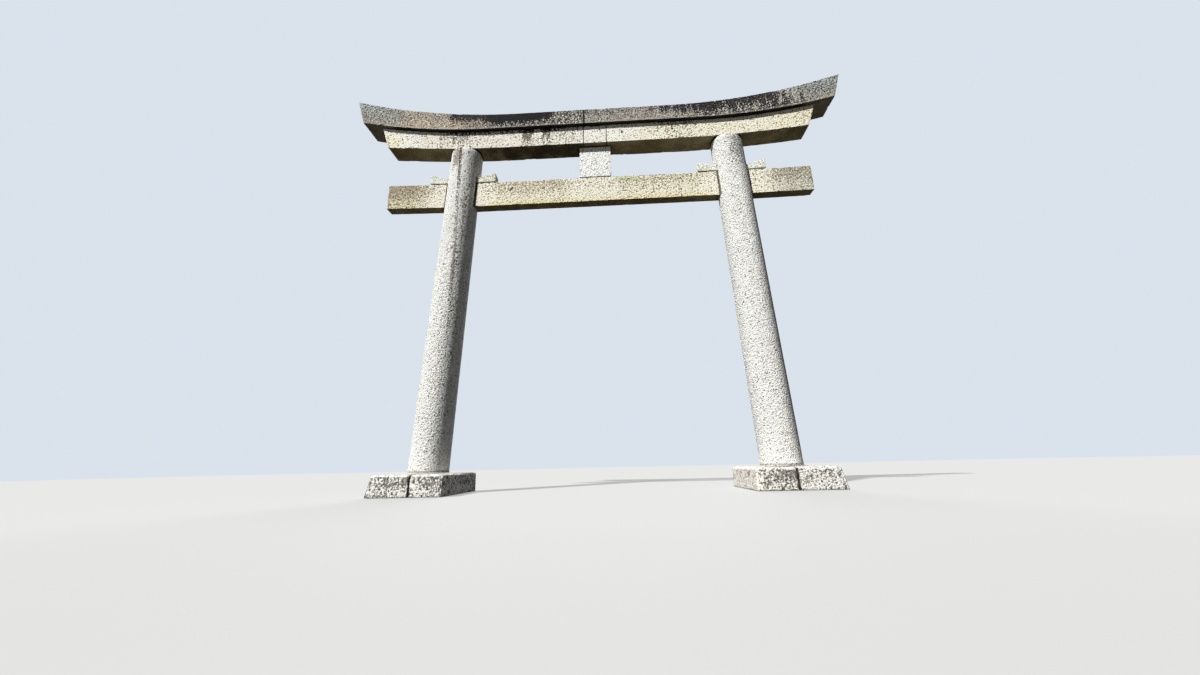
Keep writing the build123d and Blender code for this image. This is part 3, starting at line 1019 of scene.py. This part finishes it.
def base_finish():
    material, recipe = new_finish("base granite")
    place = on_gate(recipe)
    x, z = place.part(0), place.part(2)
    colour, bump, grain = granite(recipe, place, (0.87, 0.85, 0.79), pits=0.14, relief=0.04)
    blotches = recipe.noise(place, 6.0, 4.0, 0.7) - 0.5
    trails = recipe.noise(place * (20.0, 20.0, 5.0), 1.0, 3.0, 0.65) - 0.5
    pink = x.step(2.4, 2.6) * x.step(3.3, 3.2)
    right_corner = x.step(2.2, 2.4) * x.step(2.75, 2.6)
    side = facing(recipe, "right").step(0.7, 0.9) * x.step(0.0, -1.0)
    amount = base_dirt(place, blotches, trails, pink, side, right_corner)
    dirty = mix(recipe, x.step(3.2, 3.3), (0.25, 0.24, 0.225), (0.4, 0.39, 0.37))
    # On the left base's inner side, which faces away from the key light, dirt and painted shade are
    # near black.
    dirty = mix(recipe, side, dirty, (0.04, 0.038, 0.035))
    colour = tint(recipe, settle(amount, grain) * 0.9, colour, dirty)
    joint = near(abs(x) + trails * 0.05, base_joint, 0.014, 0.016)
    colour = tint(recipe, joint, colour, (0.1, 0.09, 0.075))
    soil = near(z + trails * 0.04, 0.0, 0.012, 0.02)
    colour = tint(recipe, soil * 0.8, colour, (0.3, 0.27, 0.22))
    colour = tint(recipe, pink * 0.6, colour, (0.97, 0.92, 0.89))
    # Painted light: the left base's shaded side and the right base's inner corner are made paler.
    colour = tint(recipe, side.larger(right_corner), colour, (1.12, 1.11, 1.1))
    # Painted shade: the top faces are made darker.
    colour = tint(recipe, facing(recipe, "up").step(0.6, 0.95), colour, (0.82, 0.82, 0.81))
    return close_finish(material, colour, bump, roughness=0.95)


base_granite = base_finish()

# %% [markdown]
# ## From a tree to a stone
# A tree alone is no mesh. Each stone gets an object with the tree as its modifier, the stone's own
# sizes go into the tree's inputs, and the result is copied to a plain mesh, which the export can
# keep. The modifier goes, and the mesh takes the place of its solid. Most stones share their
# wear, so those sizes are written once.

# %% Turning a tree into a mesh
def set_stone(name, shape, sizes, finish):
    """Runs a shape's tree for one stone and puts its mesh in place of the solid."""
    stone = bpy.data.objects.new(f"{name}_stone", bpy.data.meshes.new(name))
    scene.collection.objects.link(stone)
    rule = stone.modifiers.new("rule", "NODES")
    rule.node_group = shape
    for item in shape.interface.items_tree:
        if item.in_out == "INPUT":
            value = finish if item.name == "Finish" else float(sizes[item.name])
            rule[item.identifier] = value
    graph = bpy.context.evaluated_depsgraph_get()
    made = bpy.data.meshes.new_from_object(stone.evaluated_get(graph), depsgraph=graph)
    stone.modifiers.remove(rule)
    stone.data = made
    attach(stone, "root")
    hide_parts(name)
    made.calc_loop_triangles()
    print(f"{name}: {len(made.loop_triangles)} triangles")


# %% Sizes that many stones share
block_spacing = 0.018  # metres between two points
no_dent = {"Dent x": 0, "Dent z": 0, "Dent turn": 0, "Dent length": 1, "Dent depth": 0}
dressed = no_dent | {"Spacing": block_spacing, "Wear": 0.012, "Top wear": 0, "Foot share": 1,
                     "Chips": 0.03, "Hollows": 0.006, "Tooling": 0.002}


def dent_at(x, z, turn, length, depth):
    """Sizes of one dent. The turn is in degrees from the level."""
    place = {"Dent x": x, "Dent z": z, "Dent turn": math.radians(turn)}
    return place | {"Dent length": length, "Dent depth": depth}


print(f"points every {block_spacing * 1000:.0f} mm on a block")

# %% [markdown]
# ## Tie beam, strut and the lintel's middle stone
# The tie beam is three stones that meet inside the columns, where no joint shows. It could be one
# long block, but its end stones rise a little outwards, more on the left, and that takes a bend
# inside each column. The strut and the lintel's short middle stone are level blocks.

# %% Beams and strut
def lay_straight(name, left, right, levels, finish, slot, seed, **changes):
    """levels are the low and top level at the left end, and then at the right end."""
    left_low, left_top, right_low, right_top = levels
    sizes = {**dressed, "Seed": seed, "Left": left, "Right": right, "Length": right - left}
    sizes |= {"Left low": left_low, "Left top": left_top}
    sizes |= {"Right low": right_low, "Right top": right_top}
    sizes |= {"Height": (left_top - left_low + right_top - right_low) / 2, "Depth": tie_depth}
    sizes |= changes
    set_stone(name, straight_stone, sizes, finish)


tie_joint = column_axis((tie_level + tie_top) / 2)
tie_end = 4.665
strut_end = 0.348
lintel_depth = 0.482
left_tilt, right_tilt = 1.45, 0.7  # degrees
left_rise = (tie_end - tie_joint) * math.tan(math.radians(left_tilt))
right_rise = (tie_end - tie_joint) * math.tan(math.radians(right_tilt))
level_tie = (tie_level, tie_top)
left_tie = (tie_level + left_rise, tie_top + left_rise)
right_tie = (tie_level + right_rise, tie_top + right_rise)
gouge = dent_at(gouge_x, gouge_z, gouge_turn, length=0.11, depth=0.022)
lay_straight("tie_left", -tie_end, -tie_joint, (*left_tie, *level_tie), tie_granite,
             "tie_granite", 1)
lay_straight("tie_middle", -tie_joint, tie_joint, (*level_tie, *level_tie), tie_granite,
             "tie_granite", 2, **gouge)
lay_straight("tie_right", tie_joint, tie_end, (*level_tie, *right_tie), tie_granite,
             "tie_granite", 3)
lay_straight("centre_strut", -strut_end, strut_end, (tie_top, lintel_level) * 2, strut_granite,
             "strut_granite", 4)
lay_straight("lintel_middle", left_joint, right_joint, (lintel_level, cap_level) * 2,
             lintel_granite, "lintel_granite", 5, Depth=lintel_depth)

# %% [markdown]
# ## Wedges over the tie beam
# Two wedges are driven into each mortise above the tie beam, one from either side, and lock it.
# A wedge has a thick head and gets thinner into the column. Its lower edge lies on the tie beam,
# and its top edge is the straight line from its head to the mortise's ceiling, and on. So its
# corner levels are worked out from the stones round it, and not measured one by one.

# %% Wedges
foot_radius, head_radius = 0.382, 0.351
head_reach, tip_reach, head_height = 0.380, 0.250, 0.245  # out of the column, into it, and high
ceiling_gap = 0.0003  # metres between a wedge and the mortise's ceiling, as in the solids


def column_radius(level):
    """Radius of a column's shaft at a level."""
    return foot_radius - column_share(level) * (foot_radius - head_radius)


def lay_wedge(name, side, facing_out, tilt, seed):
    """facing_out is 1 away from the passage and -1 towards it."""
    def beam_top(x):
        return tie_top + max(abs(x) - tie_joint, 0) * math.tan(math.radians(tilt))

    outward = side * facing_out
    mouth = side * (column_axis(mortise_top) + facing_out * column_radius(mortise_top))
    head = mouth + outward * head_reach
    tip = mouth - outward * tip_reach
    mouth_top = mortise_top - ceiling_gap
    head_top = beam_top(head) + head_height
    tip_top = mouth_top - (head_top - mouth_top) / head_reach * tip_reach
    ends = sorted([(tip, beam_top(tip), tip_top), (head, beam_top(head), head_top)])
    (left, left_low, left_top), (right, right_low, right_top) = ends
    levels = (left_low, left_top, right_low, right_top)
    lay_straight(name, left, right, levels, wedge_granite, "wedge_granite", seed, Chips=0.02)


lay_wedge("wedge_left_outer", -1, 1, left_tilt, 6)
lay_wedge("wedge_left_inner", -1, -1, left_tilt, 7)
lay_wedge("wedge_right_inner", 1, -1, right_tilt, 8)
lay_wedge("wedge_right_outer", 1, 1, right_tilt, 9)

# %% [markdown]
# ## The two lintels
# The lower lintel's underside rises gently from far inside the columns, and its top follows the
# cap's seat, which rises later and on a tighter arc. The cap also has a pitched top, which isn't
# seen from below. The joints are off the middle, and not above each other, so each stone is laid
# from its joint outwards.

# %% Lintels
def lay_swept(name, sizes, joint, side, finish, seed):
    length = sizes["Half length"] - side * joint
    sizes = {**dressed, **sizes, "Joint": joint, "Side": side, "Length": length, "Seed": seed}
    set_stone(name, swept_stone, sizes, finish)


seat_start, seat_radius = 2.400, 12.5  # the cap's seat, which is also the lower lintel's top
cap_depth = 0.656
lintel = {"Half length": 4.726, "Rake": math.tan(math.radians(19)), "Ridge rise": 0,
          "Low level": lintel_level, "Low start": 1.750, "Low radius": 28,
          "Top level": cap_level, "Top start": seat_start, "Top radius": seat_radius,
          "Depth": lintel_depth, "Height": lintel_height}
cap = {"Half length": 5.348, "Rake": math.tan(math.radians(16.5)), "Ridge rise": 0.090,
       "Low level": cap_level, "Low start": seat_start, "Low radius": seat_radius,
       "Top level": eave_level, "Top start": 1.700, "Top radius": 12.9,
       "Depth": cap_depth, "Height": cap_height, "Tooling": 0.004, "Wear": 0.014}
lay_swept("lintel_left", lintel, left_joint, -1, lintel_granite, 10)
pitted_lintel = lintel | dent_at(pit_x, pit_z, turn=70, length=0.07, depth=0.02)
lay_swept("lintel_right", pitted_lintel, right_joint, 1, lintel_granite, 11)
lay_swept("cap_left", cap, cap_joint, -1, cap_granite, 12)
lay_swept("cap_right", cap, cap_joint, 1, cap_granite, 13)

# %% [markdown]
# ## Columns and mortar beds
# The columns' points lie closer together than the beams', because a round stone shows its facets
# sooner. The left head is more tightly rounded on its left side and has a pit in its front. Apart
# from that the right column is the left one mirrored, so one loop lays both, each with its bed.

# %% Columns and beds
hole = {"Hole depth": mortise_depth, "Hole low": tie_level - 0.002, "Hole top": mortise_top}
no_hole = {"Hole depth": 0.1, "Hole low": -3.0, "Hole top": -2.0}  # far below the bed
head_pit = dent_at(-2.929, 7.188, turn=80, length=0.06, depth=0.02)
for side, name in ((-1, "left"), (1, "right")):
    shaft = {"Foot x": side * foot_x, "Head x": side * head_x, "Foot level": foot_level,
             "Head level": head_level, "Foot radius": foot_radius, "Head radius": head_radius,
             "Head round": 0.165, "Left crisp": 0.5 if side < 0 else 0.0,
             "Spacing": 0.016, "Hollows": 0.006, "Tooling": 0.0035, "Seed": 14 + side}
    pit = head_pit if side < 0 else no_dent
    set_stone(f"column_{name}", round_stone, shaft | hole | pit, column_granite)
    bed = {"Foot x": side * foot_x, "Head x": side * foot_x, "Foot level": base_top,
           "Head level": foot_level, "Foot radius": foot_radius + 0.004, "Head radius": foot_radius,
           "Head round": 0.01, "Left crisp": 0,
           "Spacing": 0.01, "Hollows": 0.006, "Tooling": 0.003, "Seed": 17 + side}
    set_stone(f"bed_{name}", round_stone, bed | no_hole | no_dent, bed_mortar)

# %% [markdown]
# ## Foundation stones in their places
# Two stones lie under each column, with a gap between them below the column. They are hewn more
# roughly than the dressed stones: deeper hollows, larger chips, and arrises worn most at the top.
# All of that is the same worn block with other numbers.

# %% Laying the foundation stones
rough = {"Spacing": block_spacing, "Wear": 0.02, "Top wear": 0.035, "Foot share": 0.3,
         "Chips": 0.05, "Hollows": 0.014, "Tooling": 0.006}
face_slope, end_slope = math.tan(math.radians(3)), math.tan(math.radians(13))
left_corner, right_corner = 0.060, 0.130
half_gap, foundation_depth = 0.006, 1.84


def lay_foundation(name, joint, side, length, radius, batter, seed):
    sizes = {**rough, "Joint": joint, "Side": side, "Length": length, "Depth": foundation_depth,
             "Height": base_top, "Corner radius": radius, "End batter": batter,
             "Face batter": face_slope, "Seed": seed}
    set_stone(name, foundation_stone, sizes, base_granite)


inner_joint, outer_joint = base_joint - half_gap, base_joint + half_gap
lay_foundation("base_left_outer", -outer_joint, -1, 0.674, left_corner, end_slope, 20)
lay_foundation("base_left_inner", -inner_joint, 1, 0.574, left_corner, 0.0, 21)
lay_foundation("base_right_inner", inner_joint, -1, 0.654, right_corner, 0.0, 22)
lay_foundation("base_right_outer", outer_joint, 1, 0.734, right_corner, end_slope, 23)

# %% [markdown]
# ## Floor and sky
# The floor is a plain pale sheet and the sky is plain and pale. If both shone as brightly as they
# look, the undersides of the lintels would turn grey. So a Light Path node gives the camera a pale
# tone and gives the stones a darker one, and the gate's shadow still falls on the floor.

# %% Floor
reach = 90
tone_for_light, tone_for_camera = (0.072, 0.072, 0.072), (0.5, 0.5, 0.49)
glow_colour, glow_share = (0.78, 0.78, 0.77, 1), 0.45
sheet = bpy.data.meshes.new("floor")
corners = [(-reach, -reach, 0), (reach, -reach, 0), (reach, reach, 0), (-reach, reach, 0)]
sheet.from_pydata(corners, [], [(0, 1, 2, 3)])
floor = bpy.data.objects.new("floor", sheet)
scene.collection.objects.link(floor)
floor_paint, recipe = new_finish("floor paint")
seen = recipe.node("ShaderNodeLightPath", out="Is Camera Ray")
tone = mix(recipe, seen, tone_for_light, tone_for_camera)
matt = recipe.node("ShaderNodeBsdfDiffuse", {}, {"Color": tone})
glow = recipe.node("ShaderNodeEmission", {}, {"Color": glow_colour, "Strength": 1.0})
both = recipe.node("ShaderNodeMixShader", {}, {0: seen * glow_share, 1: matt, 2: glow})
out = recipe.tree.nodes.new("ShaderNodeOutputMaterial")
recipe.tree.links.new(both.socket, out.inputs["Surface"])
sheet.materials.append(floor_paint)
print(f"{floor_paint.name}: {len(recipe.tree.nodes)} nodes, {2 * reach} m wide")

# %% Sky
light_from_sky, sky_for_camera = (0.061, 0.066, 0.075), (0.70, 0.76, 0.84)
world = bpy.data.worlds.new("studio")
world.use_nodes = True
world.node_tree.nodes.clear()
recipe = Recipe(world.node_tree)
seen = recipe.node("ShaderNodeLightPath", out="Is Camera Ray")
colour = mix(recipe, seen, light_from_sky, sky_for_camera)
sky = recipe.node("ShaderNodeBackground", {}, {"Color": colour, "Strength": 1.0})
out = recipe.tree.nodes.new("ShaderNodeOutputWorld")
recipe.tree.links.new(sky.socket, out.inputs["Surface"])
scene.world = world
print(f"{world.name}: {len(recipe.tree.nodes)} nodes")

# %% [markdown]
# ## Light
# The key light comes from the front left and high, as in the picture, and is small enough to
# draw the cap's shadow on the lintel. A weak broad light from the front opens that shadow a
# little, and a broad one from behind keeps the back of the gate readable.

# %% Key light and fill
def hang_light(name, energy, softness, azimuth, height):
    """A far lamp, in degrees. Azimuth 0 shines from the front, and a negative one from the left."""
    data = bpy.data.lights.new(name, "SUN")
    data.energy = energy
    data.angle = math.radians(softness)
    lamp = bpy.data.objects.new(name, data)
    turn = Matrix.Rotation(math.radians(azimuth), 4, "Z")
    lamp.matrix_world = turn @ Matrix.Rotation(math.radians(90 - height), 4, "X")
    scene.collection.objects.link(lamp)
    print(f"{name}: energy {energy}, {height} degrees up")


hang_light("key light", energy=5.4, softness=3, azimuth=-40, height=46.5)
hang_light("front fill", energy=0.2, softness=60, azimuth=-25, height=10)
hang_light("back light", energy=2.0, softness=30, azimuth=180, height=35)
scene.view_settings.view_transform = "Standard"
